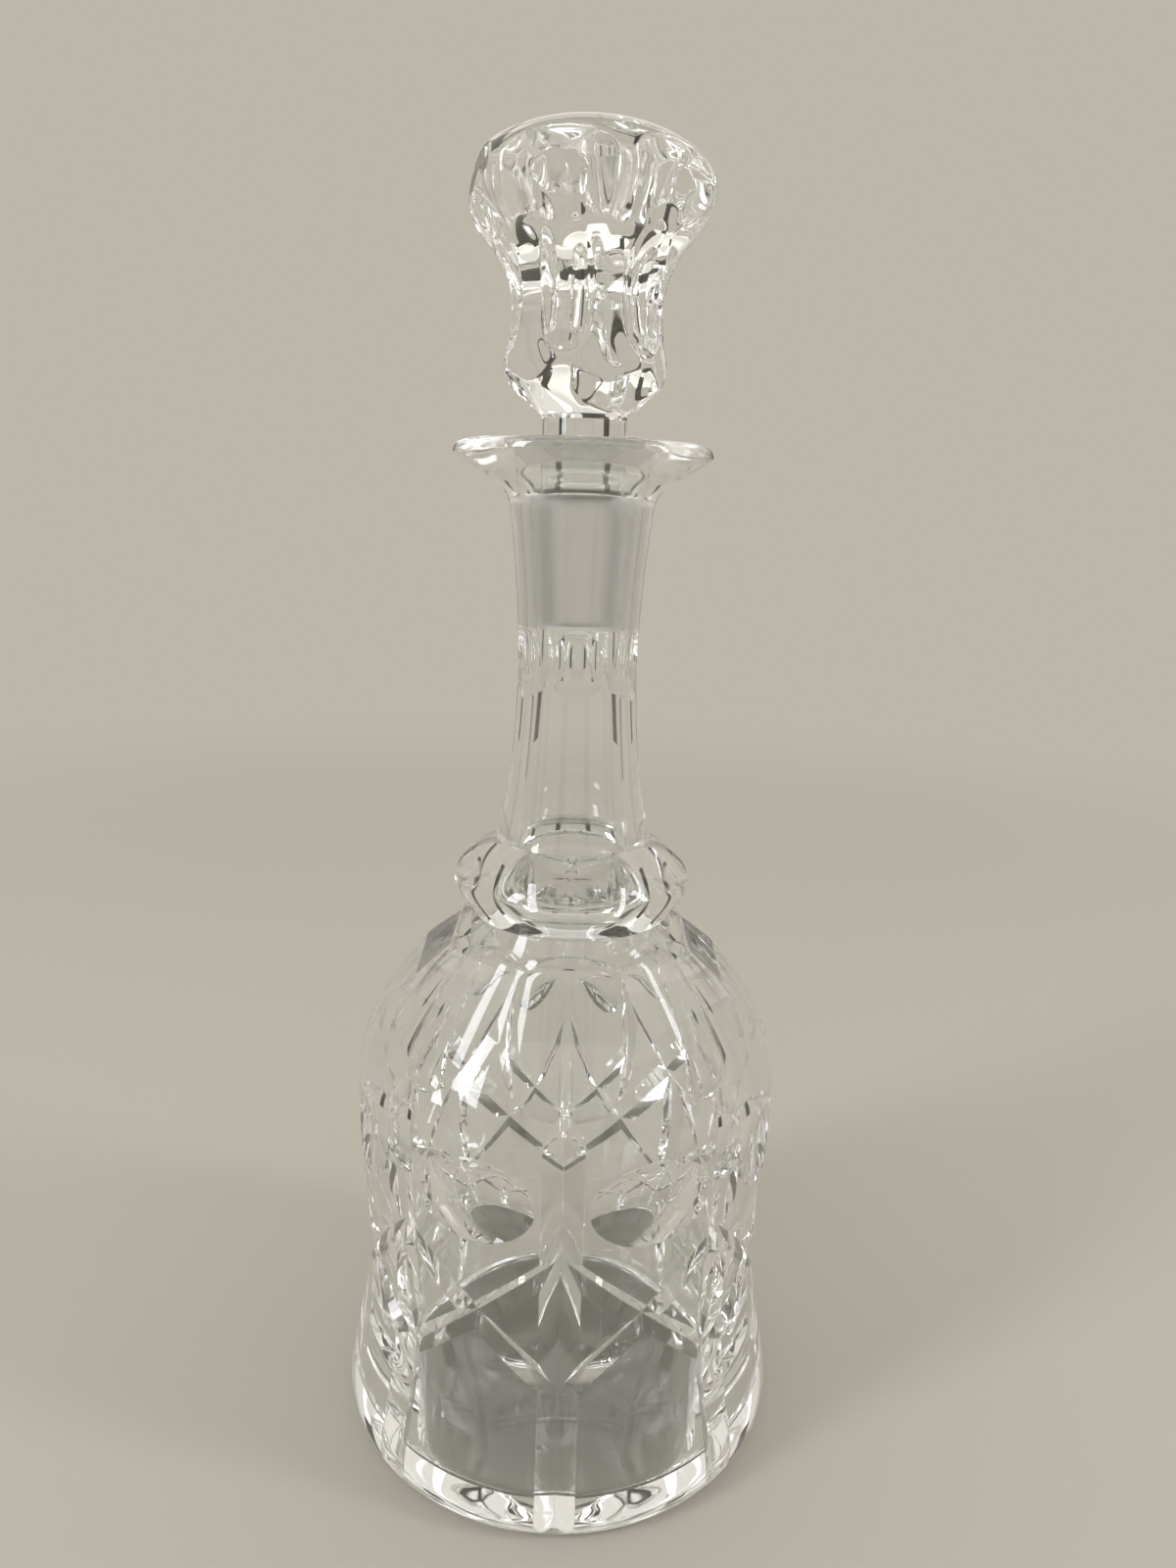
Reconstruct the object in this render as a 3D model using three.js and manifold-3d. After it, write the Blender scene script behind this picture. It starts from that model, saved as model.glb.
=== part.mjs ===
// Cut crystal decanter with its ground glass stopper.
// Millimetres, +Z up. The origin is the centre of the base, on the table.
// Angles round the axis are counted from the front (-Y) towards +X.

import * as THREE from 'three';
import { mergeVertices } from 'three/addons/utils/BufferGeometryUtils.js';
import Module from 'manifold-3d';

const wasm = await Module();
wasm.setup();

// ---------------------------------------------------------------- sizes

// Bell-shaped body, from the base up
const footRadius = 47.2;
const heelRadius = 52.4;
const heelHeight = 6;
const waistRadius = 47.3;
const waistHeight = 44;
const shoulderRadius = 49.4;
const shoulderHeight = 83;
const bodyHeight = 126;
const bodyWall = 7;
const baseThickness = 4;
const floorCornerRadius = 1.8;
const floorSpread = 0.9;
const puntRadius = 12;
const puntDepth = 1.4;

// Ring collar between the body and the neck
const collarRootRadius = 22.4;
const collarOverhang = 4.7;
const collarHeight = 17.4;
const collarBore = 13.2;

// Neck, ground seat and flared lip
const neckRootWall = 4.4;
const neckLength = 72;
const neckWall = 3.95;
const neckTopWall = 4.2;
const seatBottomRadius = 9.3;
const seatTopRadius = 11.2;
const seatLength = 29;
const seatDepth = 9.4;
const lipHeight = 14;
const lipOverhang = 12.2;
const lipThickness = 2.4;

// Cuts on the body, repeated round it
const bodyRepeats = 8;
const archDrop = 2.2;
const archHeight = 26.5;
const archDepth = 2.1;
const archRunOut = 3.2;
const columnDrop = 27.5;
const columnFoot = 4;
const columnHalfWidth = 4.7;
const columnDepth = 2.8;
const roundelDrop = 4.5;
const roundelDepth = 3.4;
const roundelAcrossRadius = 65;
const roundelAlongRadius = 15.3;
const roundelReach = 16.5;
const crossLift = 6;
const crossRise = 16;
const crossHalfWidth = 2.7;
const crossDepth = 2;

// Oval cuts round the neck, below the seat
const neckOvals = 6;
const ovalDrop = 7.4;
const ovalDepth = 1.6;
const ovalAcrossRadius = 47;
const ovalAlongRadius = 17;
const ovalReach = 9;

// Stopper: ground plug, plain shank and fluted mushroom head
const groundClearance = 0.3;
const plugChamfer = 0.9;
const shankStep = 1.9;
const shankLength = 15;
const skirtRadius = 17.3;
const skirtHeight = 10.8;
const skirtEdgeRadius = 16.5;
const skirtEdgeHeight = 6;
const headNeckRadius = 15.7;
const headNeckHeight = 20.5;
const capRadius = 25.7;
const capHeight = 43;
const headHeight = 55.2;
const stopperFlutes = 6;
const stopperTurn = -15;
const fluteFloorRadius = 12.6;
const fluteHeight = 21;
const fluteWheelRadius = 15;
const fluteRimRadius = 7.5;
const capFacetDepth = 2.7;
const capFacetHeight = 25;
const capFacetDrop = 4.8;
const capFacetRunOut = 4;
const dishFloorRadius = 17.7;
const dishHeight = 29.8;
const dishWheelRadius = 24;
const dishRimRadius = 7;
const pointRadius = 16.1;
const pointWidth = 3.6;
const underCutRadius = 9.3;
const underCutAngle = 47;
const underCutThickness = 12;

// ------------------------------------------------------- derived sizes

const collarTop = bodyHeight + collarHeight;
const neckTop = collarTop + neckLength;
const rimHeight = neckTop + lipHeight;
const seatTop = rimHeight - seatDepth;
const seatBottom = seatTop - seatLength;
const neckRootRadius = collarBore + neckRootWall;
const neckRadius = seatBottomRadius + neckWall;
const neckTopRadius = seatTopRadius + neckTopWall;
const neckNarrowHeight = seatBottom - ovalDrop;
const lipRadius = neckTopRadius + lipOverhang;
const collarRadius = collarRootRadius + collarOverhang;
const plugBottomRadius = seatBottomRadius - groundClearance;
const plugTopRadius = seatTopRadius - groundClearance;
const shankRadius = plugTopRadius - shankStep;
const headBase = seatLength + shankLength;
const archTop = bodyHeight - archDrop;
const columnTop = bodyHeight - columnDrop;
const columnBottom = heelHeight - columnFoot;
const roundelHeight = shoulderHeight - roundelDrop;
const crossHeight = waistHeight + crossLift;

const BODY_STEPS = 40;
const STOPPER_STEPS = 36;

// ------------------------------------------------------------- helpers

// A closed solid from a three.js geometry, with its faces pointing out.
function toSolid(geometry) {
  const bare = geometry.clone();
  bare.deleteAttribute('normal');
  bare.deleteAttribute('uv');
  const merged = mergeVertices(bare, 1e-4);
  const position = merged.getAttribute('position');
  const corners = merged.getIndex().array;
  const triangles = [];
  let volume = 0;
  const a = new THREE.Vector3();
  const b = new THREE.Vector3();
  const c = new THREE.Vector3();
  for (let i = 0; i < corners.length; i += 3) {
    const [p, q, r] = [corners[i], corners[i + 1], corners[i + 2]];
    if (p === q || q === r || r === p) continue;
    a.fromBufferAttribute(position, p);
    b.fromBufferAttribute(position, q);
    c.fromBufferAttribute(position, r);
    volume += a.dot(b.cross(c));
    triangles.push([p, q, r]);
  }
  const ordered = volume < 0 ? triangles.map(([p, q, r]) => [p, r, q]) : triangles;
  return new wasm.Manifold(new wasm.Mesh({
    numProp: 3,
    vertProperties: new Float32Array(position.array),
    triVerts: new Uint32Array(ordered.flat()),
  }));
}

function toMesh(name, solid, material) {
  const { vertProperties, triVerts } = solid.getMesh();
  const geometry = new THREE.BufferGeometry();
  geometry.setAttribute('position', new THREE.BufferAttribute(vertProperties, 3));
  geometry.setIndex(new THREE.BufferAttribute(triVerts, 1));
  geometry.computeVertexNormals();
  const mesh = new THREE.Mesh(geometry, material);
  mesh.name = name;
  return mesh;
}

// Points along a path, close enough for chords to stay within the tolerance.
function pointsAlong(path, tolerance) {
  const points = [path.curves[0].getPoint(0)];
  const split = (curve, from, to) => {
    const start = curve.getPoint(from);
    const end = curve.getPoint(to);
    const chord = new THREE.Line3(
      new THREE.Vector3(start.x, start.y, 0),
      new THREE.Vector3(end.x, end.y, 0),
    );
    const strays = [0.25, 0.5, 0.75].some((share) => {
      const p = curve.getPoint(from + (to - from) * share);
      const spot = new THREE.Vector3(p.x, p.y, 0);
      return chord.closestPointToPoint(spot, true, new THREE.Vector3()).distanceTo(spot) > tolerance;
    });
    if (strays) {
      split(curve, from, (from + to) / 2);
      split(curve, (from + to) / 2, to);
    } else {
      points.push(end);
    }
  };
  path.curves.forEach((curve) => split(curve, 0, 1));
  return points;
}

// A solid of revolution about Z from a path of (radius, height).
function turned(path, steps, tolerance) {
  const lathe = new THREE.LatheGeometry(pointsAlong(path, tolerance), steps);
  return toSolid(lathe.rotateX(Math.PI / 2));
}

// A curve's radius and outward normal at one height.
function surfaceAt(curves, height) {
  const curve = curves.find((c) => height <= c.getPoint(1).y) ?? curves[curves.length - 1];
  let low = 0;
  let high = 1;
  for (let i = 0; i < 30; i += 1) {
    const middle = (low + high) / 2;
    if (curve.getPoint(middle).y < height) low = middle;
    else high = middle;
  }
  const point = curve.getPoint(low);
  const tangent = curve.getTangent(low);
  return { radius: point.x, out: tangent.y, up: -tangent.x };
}

function onAxisTurn(radius, angle, height) {
  return new THREE.Vector3(radius * Math.sin(angle), -radius * Math.cos(angle), height);
}

// A shallow dish cutter: its pole lies depth below the surface point that it
// is placed on, and its two radii bend it across and along the surface.
function dishCutter({ depth, acrossRadius, alongRadius, halfWidth, halfLength }) {
  const lid = 3;
  const outline = [[0, 0], [0.4, 0], [0.72, 0], [1, 0], [1, lid], [0, lid]];
  const points = outline.map(([share, height]) => new THREE.Vector2(share, height));
  const dish = new THREE.LatheGeometry(points, 16).scale(halfWidth, 1, halfLength);
  const position = dish.getAttribute('position');
  for (let i = 0; i < position.count; i += 1) {
    if (position.getY(i) === 0) {
      const [x, z] = [position.getX(i), position.getZ(i)];
      const rise = x * x / (2 * acrossRadius) + z * z / (2 * alongRadius);
      position.setY(i, rise - depth);
    }
  }
  return dish;
}

// Places a cutter whose own +Y is outwards and +Z is down the surface.
function placed(geometry, curves, height, angle) {
  const { radius, out, up } = surfaceAt(curves, height);
  const outward = onAxisTurn(out, angle, up);
  const across = onAxisTurn(1, angle + Math.PI / 2, 0);
  const along = new THREE.Vector3().crossVectors(across, outward);
  const matrix = new THREE.Matrix4().makeBasis(across, outward, along);
  matrix.setPosition(onAxisTurn(radius, angle, height));
  return toSolid(geometry.clone().applyMatrix4(matrix));
}

// A panel cutter, straight across: its face dips under the surface, steeply at
// its foot and then evenly, and rises to the surface again over its run-out.
function panelCut(curves, { foot, top, depth, runOut, halfWidth }, angle) {
  const lift = 3;
  const steps = 12;
  const under = [];
  const over = [];
  for (let i = 0; i <= steps; i += 1) {
    const share = (1 - Math.cos((Math.PI * i) / steps)) / 2;
    const height = foot + (top - foot) * share;
    const { radius, out, up } = surfaceAt(curves, height);
    const left = Math.max(0, 1 - (top - height) / runOut);
    const sink = depth * (1 - (1 - share) ** 3) ** 0.65 * (1 - left ** 3);
    under.push(new THREE.Vector2(radius - out * sink, height - up * sink));
    over.unshift(new THREE.Vector2(radius + out * lift, height + up * lift));
  }
  const outline = new THREE.Shape([...under, ...over]);
  const slab = new THREE.ExtrudeGeometry(outline, { depth: 2 * halfWidth, bevelEnabled: false });
  const outward = onAxisTurn(1, angle, 0);
  const across = onAxisTurn(1, angle + Math.PI / 2, 0);
  const upward = new THREE.Vector3(0, 0, 1);
  slab.translate(0, 0, -halfWidth);
  return toSolid(slab.applyMatrix4(new THREE.Matrix4().makeBasis(outward, upward, across)));
}

// A V-shaped mitre cut that follows the surface through a list of stations,
// each with an angle, a height and the share of the full depth cut there.
function mitreCut(curves, stations, halfWidth, depth) {
  const lift = 2.5;
  const corners = [];
  const rings = stations.map(({ angle, height, share }) => {
    const { radius, out, up } = surfaceAt(curves, height);
    return {
      centre: onAxisTurn(radius, angle, height),
      outward: onAxisTurn(out, angle, up),
      sink: depth * share,
    };
  });
  rings.forEach(({ centre, outward, sink }, i) => {
    const before = rings[Math.max(i - 1, 0)].centre;
    const after = rings[Math.min(i + 1, rings.length - 1)].centre;
    const along = new THREE.Vector3().subVectors(after, before).normalize();
    const side = new THREE.Vector3().crossVectors(along, outward).normalize();
    const half = halfWidth * (sink + lift) / depth;
    corners.push(
      centre.clone().addScaledVector(outward, -sink),
      centre.clone().addScaledVector(outward, lift).addScaledVector(side, half),
      centre.clone().addScaledVector(outward, lift).addScaledVector(side, -half),
    );
  });
  const index = [0, 1, 2];
  for (let i = 0; i < rings.length - 1; i += 1) {
    for (let k = 0; k < 3; k += 1) {
      const a = 3 * i + k;
      const b = 3 * i + ((k + 1) % 3);
      index.push(a, a + 3, b, b, a + 3, b + 3);
    }
  }
  const last = 3 * (rings.length - 1);
  index.push(last, last + 2, last + 1);
  const geometry = new THREE.BufferGeometry().setFromPoints(corners);
  geometry.setIndex(index);
  return toSolid(geometry);
}

function repeat(count, makeOne) {
  return Array.from({ length: count }, (_, i) => makeOne((2 * Math.PI * i) / count, i));
}

function cutAll(blank, cutters) {
  return cutters.reduce((solid, cutter) => solid.subtract(cutter), blank);
}

// ------------------------------------------------------- decanter body

// Outside of the blank, from the foot to the top of the rim.
const outside = new THREE.Path();
outside.moveTo(puntRadius, 0);
outside.lineTo(footRadius, 0);
outside.quadraticCurveTo(heelRadius, 0, heelRadius, heelHeight);
outside.bezierCurveTo(
  heelRadius, heelHeight + 7,
  waistRadius, waistHeight - 17,
  waistRadius, waistHeight,
);
outside.bezierCurveTo(
  waistRadius, waistHeight + 15,
  shoulderRadius, shoulderHeight - 15,
  shoulderRadius, shoulderHeight,
);
outside.bezierCurveTo(
  shoulderRadius, shoulderHeight + 22,
  collarRootRadius + 14, bodyHeight - 9.7,
  collarRootRadius, bodyHeight,
);
outside.bezierCurveTo(
  collarRootRadius + 1.2, bodyHeight + 2.4,
  collarRadius, bodyHeight + 4.6,
  collarRadius, bodyHeight + 8,
);
outside.bezierCurveTo(
  collarRadius, bodyHeight + 11.4,
  neckRootRadius + 3.6, collarTop - 1.4,
  neckRootRadius, collarTop,
);
outside.bezierCurveTo(
  neckRootRadius - 2, collarTop + 7.4,
  neckRadius, neckNarrowHeight - 18,
  neckRadius, neckNarrowHeight,
);
outside.bezierCurveTo(
  neckRadius, neckNarrowHeight + 13,
  neckTopRadius - 0.8, neckTop - 8,
  neckTopRadius, neckTop,
);
outside.bezierCurveTo(
  neckTopRadius + 0.5, neckTop + 5.5,
  lipRadius - 6.6, rimHeight - lipThickness - 4.6,
  lipRadius, rimHeight - lipThickness,
);
outside.quadraticCurveTo(lipRadius, rimHeight, lipRadius - lipThickness, rimHeight);

// The inside follows: mouth, ground seat, neck bore and the hollow body.
const mouthCurve = [
  lipRadius - lipThickness - 5.7, rimHeight - 1.1,
  seatTopRadius + 1.6, rimHeight - 4,
  seatTopRadius, seatTop,
];
const hollowRadius = waistRadius - bodyWall;
const hollowShoulder = shoulderRadius - bodyWall;
const bellCurves = outside.curves.slice(2, 5);
const neckCurves = outside.curves.slice(7, 9);
const profile = outside.clone();
profile.bezierCurveTo(...mouthCurve);
profile.lineTo(seatBottomRadius, seatBottom);
profile.bezierCurveTo(
  seatBottomRadius, seatBottom - 12,
  collarBore - 2.4, collarTop + 15,
  collarBore, collarTop - 2.4,
);
profile.bezierCurveTo(
  collarBore + 2.4, bodyHeight - 1,
  hollowShoulder, shoulderHeight + 22,
  hollowShoulder, shoulderHeight,
);
profile.bezierCurveTo(
  hollowShoulder, shoulderHeight - 15,
  hollowRadius, waistHeight + 15,
  hollowRadius, waistHeight,
);
profile.bezierCurveTo(
  hollowRadius, waistHeight - 12,
  hollowRadius + floorSpread, baseThickness + floorCornerRadius + 6,
  hollowRadius + floorSpread, baseThickness + floorCornerRadius,
);
profile.quadraticCurveTo(
  hollowRadius + floorSpread, baseThickness,
  hollowRadius + floorSpread - floorCornerRadius, baseThickness,
);
profile.lineTo(0, baseThickness);
profile.lineTo(0, puntDepth);
profile.quadraticCurveTo(puntRadius / 2, puntDepth, puntRadius, 0);

const bodyBlank = turned(profile, BODY_STEPS, 0.3);

const arch = {
  foot: archTop - archHeight,
  top: archTop,
  depth: archDepth,
  runOut: archRunOut,
  halfWidth: shoulderRadius / 3,
};
const roundel = dishCutter({
  depth: roundelDepth,
  acrossRadius: roundelAcrossRadius,
  alongRadius: roundelAlongRadius,
  halfWidth: roundelReach,
  halfLength: roundelReach * 0.8,
});
const oval = dishCutter({
  depth: ovalDepth,
  acrossRadius: ovalAcrossRadius,
  alongRadius: ovalAlongRadius,
  halfWidth: ovalReach * 0.8,
  halfLength: ovalReach,
});

const bodyPitch = (2 * Math.PI) / bodyRepeats;

const arches = repeat(bodyRepeats, (angle) => panelCut(bellCurves, arch, angle));

const roundels = repeat(bodyRepeats, (angle) => (
  placed(roundel, bellCurves, roundelHeight, angle + bodyPitch / 2)
));

// Each column starts blunt under its arch and runs out through the heel.
const columns = repeat(bodyRepeats, (angle) => {
  const runOut = 5;
  const steps = 8;
  const stations = Array.from({ length: steps + 1 }, (_, i) => {
    const height = columnTop + (columnBottom - columnTop) * (i / steps);
    return { angle, height, share: 0.35 + 0.65 * Math.min((columnTop - height) / runOut, 1) };
  });
  return mitreCut(bellCurves, stations, columnHalfWidth, columnDepth);
});

// Two crossed mitres in each panel between two columns.
const crosses = repeat(bodyRepeats, (angle) => [1, -1].map((way) => {
  const steps = 6;
  const stations = Array.from({ length: steps + 1 }, (_, i) => {
    const share = i / steps;
    return {
      angle: angle + bodyPitch * share,
      height: crossHeight + way * crossRise * (1 - 2 * share),
      share: 1,
    };
  });
  return mitreCut(bellCurves, stations, crossHalfWidth, crossDepth);
})).flat();

const ovals = repeat(neckOvals, (angle) => placed(oval, neckCurves, neckNarrowHeight, angle));

const decanterSolid = cutAll(bodyBlank, [...arches, ...columns, ...roundels, ...crosses, ...ovals]);

// -------------------------------------------------------------- stopper

// Built with the end of its plug at height 0.
const stopperPath = new THREE.Path();
stopperPath.moveTo(0, 0);
stopperPath.lineTo(plugBottomRadius - plugChamfer, 0);
stopperPath.lineTo(plugBottomRadius, plugChamfer);
stopperPath.lineTo(plugTopRadius, seatLength);
stopperPath.lineTo(shankRadius, seatLength + plugChamfer);
stopperPath.lineTo(shankRadius, headBase);
stopperPath.lineTo(skirtEdgeRadius, headBase + skirtEdgeHeight);
stopperPath.quadraticCurveTo(
  skirtRadius, headBase + skirtEdgeHeight,
  skirtRadius, headBase + skirtHeight,
);
stopperPath.bezierCurveTo(
  skirtRadius - 0.6, headBase + skirtHeight + 2.4,
  headNeckRadius, headBase + headNeckHeight - 5,
  headNeckRadius, headBase + headNeckHeight,
);
stopperPath.bezierCurveTo(
  headNeckRadius, headBase + headNeckHeight + 13,
  capRadius, headBase + capHeight - 10,
  capRadius, headBase + capHeight,
);
stopperPath.bezierCurveTo(
  capRadius, headBase + capHeight + 6.5,
  capRadius * 0.58, headBase + headHeight,
  0, headBase + headHeight,
);
const stopperBlank = turned(stopperPath, STOPPER_STEPS, 0.12);

const turn = THREE.MathUtils.degToRad(stopperTurn);

// Broad facets round the cap, between narrow ribs.
const capFacet = {
  foot: headBase + headHeight - capFacetDrop - capFacetHeight,
  top: headBase + headHeight - capFacetDrop,
  depth: capFacetDepth,
  runOut: capFacetRunOut,
  halfWidth: capRadius * 0.6,
};
const capCurves = stopperPath.curves.slice(-3);
const capFacets = repeat(stopperFlutes, (angle) => panelCut(capCurves, capFacet, angle + turn));

// A cutting wheel with a round rim, standing upright beside the head.
function roundWheel({ floorRadius, height, wheelRadius, rimRadius }) {
  const half = new THREE.Path();
  half.moveTo(0, -rimRadius);
  half.lineTo(wheelRadius - rimRadius, -rimRadius);
  half.absarc(wheelRadius - rimRadius, 0, rimRadius, -Math.PI / 2, Math.PI / 2);
  half.lineTo(0, rimRadius);
  const wheel = new THREE.LatheGeometry(half.getPoints(6), 32).rotateZ(Math.PI / 2);
  return wheel.translate(0, -(floorRadius + wheelRadius), headBase + height);
}

// Each facet has a round dish in the cap and a long flute down the waist.
const dish = roundWheel({
  floorRadius: dishFloorRadius,
  height: dishHeight,
  wheelRadius: dishWheelRadius,
  rimRadius: dishRimRadius,
});
const flute = roundWheel({
  floorRadius: fluteFloorRadius,
  height: fluteHeight,
  wheelRadius: fluteWheelRadius,
  rimRadius: fluteRimRadius,
});
const hollows = repeat(stopperFlutes, (angle) => (
  [dish, flute].map((wheel) => toSolid(wheel.clone().rotateZ(angle + turn)))
)).flat();

// Flat facets under the head: one below each flute, sloping out from the shank.
const facetReach = 1.8 * skirtRadius;
const underFacet = new THREE.BoxGeometry(2 * facetReach, underCutThickness, facetReach);
underFacet.translate(0, -underCutThickness / 2, facetReach / 2);
underFacet.rotateX(THREE.MathUtils.degToRad(90 - underCutAngle));
underFacet.translate(0, -underCutRadius, headBase);
const underFacets = repeat(stopperFlutes, (angle) => (
  toSolid(underFacet.clone().rotateZ(angle + turn))
));

// A narrow upright facet takes the corner off the foot of each rib.
const point = new THREE.BoxGeometry(pointWidth * 2, 8, 18);
point.translate(0, -pointRadius - 4, headBase + skirtHeight);
const ribTurn = turn + Math.PI / stopperFlutes;
const points = repeat(stopperFlutes, (angle) => toSolid(point.clone().rotateZ(angle + ribTurn)));

const headCuts = [...capFacets, ...hollows, ...underFacets, ...points];
const stopperSolid = cutAll(stopperBlank, headCuts);

// ------------------------------------------------------------- assembly

const crystal = new THREE.MeshStandardMaterial({
  name: 'polished lead crystal',
  color: '#e9efee',
  roughness: 0.03,
  metalness: 0,
  transparent: true,
  opacity: 0.4,
  flatShading: true,
});
const groundCrystal = crystal.clone();
groundCrystal.name = 'lead crystal with a ground plug';

const body = toMesh('decanter_body', decanterSolid, crystal);
const stopper = toMesh('stopper', stopperSolid, groundCrystal);
stopper.position.z = seatBottom;

const decanter = new THREE.Group();
decanter.name = 'decanter';
decanter.add(body, stopper);

export default decanter;
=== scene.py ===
"""Cut crystal decanter with its ground stopper: the glass, a plain studio and the camera."""

import logging
import math
from dataclasses import dataclass
from enum import Enum
from functools import partial
from itertools import pairwise
from typing import Callable, Iterable

import bmesh
import bpy
import numpy as np
from mathutils import Matrix, Vector
from mathutils.geometry import interpolate_bezier


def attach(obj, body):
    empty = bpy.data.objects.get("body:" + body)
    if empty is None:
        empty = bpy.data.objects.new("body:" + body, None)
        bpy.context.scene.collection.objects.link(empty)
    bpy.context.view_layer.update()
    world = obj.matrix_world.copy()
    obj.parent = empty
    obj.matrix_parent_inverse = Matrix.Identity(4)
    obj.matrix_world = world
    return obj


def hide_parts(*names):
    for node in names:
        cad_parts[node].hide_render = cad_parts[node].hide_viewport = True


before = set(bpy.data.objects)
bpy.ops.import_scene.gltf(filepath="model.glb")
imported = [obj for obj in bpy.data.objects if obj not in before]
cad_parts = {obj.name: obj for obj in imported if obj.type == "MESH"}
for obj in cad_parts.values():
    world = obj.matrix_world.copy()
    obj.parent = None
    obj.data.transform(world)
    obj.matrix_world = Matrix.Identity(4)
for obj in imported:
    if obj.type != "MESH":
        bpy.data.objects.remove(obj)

log = logging.getLogger("decanter")

MM = 0.001
TAG = "cut"
CLEAR = 99.0  # a radius in millimetres beyond all of the stopper's glass
ON_AXIS = 0.01  # a radius in millimetres under which a corner is not moved
BOUNCES = 64

# How near to each other corners are merged, in the mesh's own units.
MERGE_DISH = 1e-5
MERGE_TURNED = 1e-4
MERGE_CUT = 0.002

Pair = tuple[float, float]
Triple = tuple[float, float, float]
Shape = bmesh.types.BMesh
Corner = bmesh.types.BMVert
Finishes = Iterable[bpy.types.Material]


class Surface(Enum):
    """How a patch of the glass was finished, as its material slot number."""

    POLISHED = 0
    GROUND = 1


class Tool(Enum):
    """Which tool left a face: the turned blank or one kind of cut."""

    BLANK = 0
    ARCH = 1
    COLUMN = 2
    ROUNDEL = 3
    CROSS_DOWN = 4
    CROSS_UP = 5
    OVAL = 6


# ---- turned lines


@dataclass(frozen=True)
class Station:
    """A spot on a turned line: its radius and the direction that faces outwards there."""

    radius: float
    out: float
    up: float


class TurnedLine:
    """A line of (radius, height) points in millimetres that a turned blank is spun from."""

    def __init__(self, radius: float, height: float) -> None:
        """Starts the line at its first point."""
        self.points: list[Pair] = [(radius, height)]

    def line(self, radius: float, height: float, steps: int = 1) -> "TurnedLine":
        """Adds a straight stretch.

        Args:
            radius: radius of its end.
            height: height of its end.
            steps: number of equal pieces.

        Returns:
            The line itself, so that stretches can be chained.
        """
        start = Vector(self.points[-1])
        end = Vector((radius, height))
        self.points += [tuple(start.lerp(end, (i + 1) / steps)) for i in range(steps)]
        return self

    def curve(self, first: Pair, second: Pair, end: Pair, steps: int) -> "TurnedLine":
        """Adds a curve with two handles.

        Args:
            first: handle at its start.
            second: handle at its end.
            end: its end point.
            steps: number of pieces.

        Returns:
            The line itself.
        """
        knots = [Vector((r, z, 0)) for r, z in (self.points[-1], first, second, end)]
        points = interpolate_bezier(*knots, steps + 1)
        self.points += [(p.x, p.y) for p in points[1:]]
        return self

    def bend(self, corner: Pair, end: Pair, steps: int) -> "TurnedLine":
        """Adds a curve that leaves and arrives along the two sides of a corner.

        Args:
            corner: where the two sides would meet.
            end: its end point.
            steps: number of pieces.

        Returns:
            The line itself.
        """
        start, tip, stop = Vector(self.points[-1]), Vector(corner), Vector(end)
        first, second = start.lerp(tip, 2 / 3), stop.lerp(tip, 2 / 3)
        return self.curve(tuple(first), tuple(second), end, steps)

    def at(self, height: float) -> Station:
        """Finds the spot at one height on a line that only rises.

        Args:
            height: the height to look for.

        Returns:
            The radius and outward direction there.
        """
        radii, heights = np.array(self.points).T
        slope = np.gradient(radii, heights)
        radius = float(np.interp(height, heights, radii))
        lean = float(np.interp(height, heights, slope))
        length = math.hypot(1.0, lean)
        return Station(radius, 1.0 / length, -lean / length)

    def spun(self, steps: int) -> Shape:
        """Spins the line into a closed solid, in millimetres, with that many faces round it."""
        return spun_round([(r, 0, z) for r, z in self.points], (0, 0, 1), steps, MERGE_TURNED)


def clean(solid: Shape, distance: float) -> None:
    """Merges doubled corners, closes poles and turns all faces outwards.

    Args:
        solid: the closed mesh.
        distance: how far apart merged corners may be, in its own units.
    """
    bmesh.ops.remove_doubles(solid, verts=solid.verts, dist=distance)
    bmesh.ops.dissolve_degenerate(solid, edges=solid.edges, dist=distance)
    bmesh.ops.recalc_face_normals(solid, faces=solid.faces)


def spun_round(points: list[Triple], axis: Triple, steps: int, distance: float) -> Shape:
    """Spins a line of points once round an axis through the origin.

    Args:
        points: the line's points.
        axis: direction of the axis.
        steps: number of faces round it.
        distance: how near to each other corners are merged.

    Returns:
        The surface, in the points' units.
    """
    shape = bmesh.new()
    corners = [shape.verts.new(point) for point in points]
    geom = corners + [shape.edges.new(pair) for pair in pairwise(corners)]
    bmesh.ops.spin(shape, geom=geom, axis=axis, angle=math.tau, steps=steps, use_merge=True)
    clean(shape, distance)
    return shape


def round_axis(radius: float, angle: float, height: float) -> Vector:
    """Gives a point by its radius, its angle from the front (-Y) towards +X, and its height."""
    return Vector((radius * math.sin(angle), -radius * math.cos(angle), height))


def stand_on(line: TurnedLine, angle: float, height: float) -> Matrix:
    """Gives the place of a cutter on a turned surface.

    Args:
        line: the surface's line.
        angle: angle from the front, in radians.
        height: height on the line.

    Returns:
        A matrix that puts the cutter's X across, Y outwards and Z down the surface.
    """
    spot = line.at(height)
    outward = round_axis(spot.out, angle, spot.up)
    across = round_axis(1, angle + math.pi / 2, 0)
    along = across.cross(outward)
    place = Matrix((across, outward, along)).transposed().to_4x4()
    place.translation = round_axis(spot.radius, angle, height)
    return place


def put_in_scene(shape: Shape, name: str) -> bpy.types.Object:
    """Makes a scene object from a shape.

    Args:
        shape: the shape. It is used up.
        name: the object's and the mesh's name.

    Returns:
        The object, at the origin.
    """
    mesh = bpy.data.meshes.new(name)
    shape.to_mesh(mesh)
    shape.free()
    thing = bpy.data.objects.new(name, mesh)
    bpy.context.scene.collection.objects.link(thing)
    return thing


# ---- cutting wheels


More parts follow.
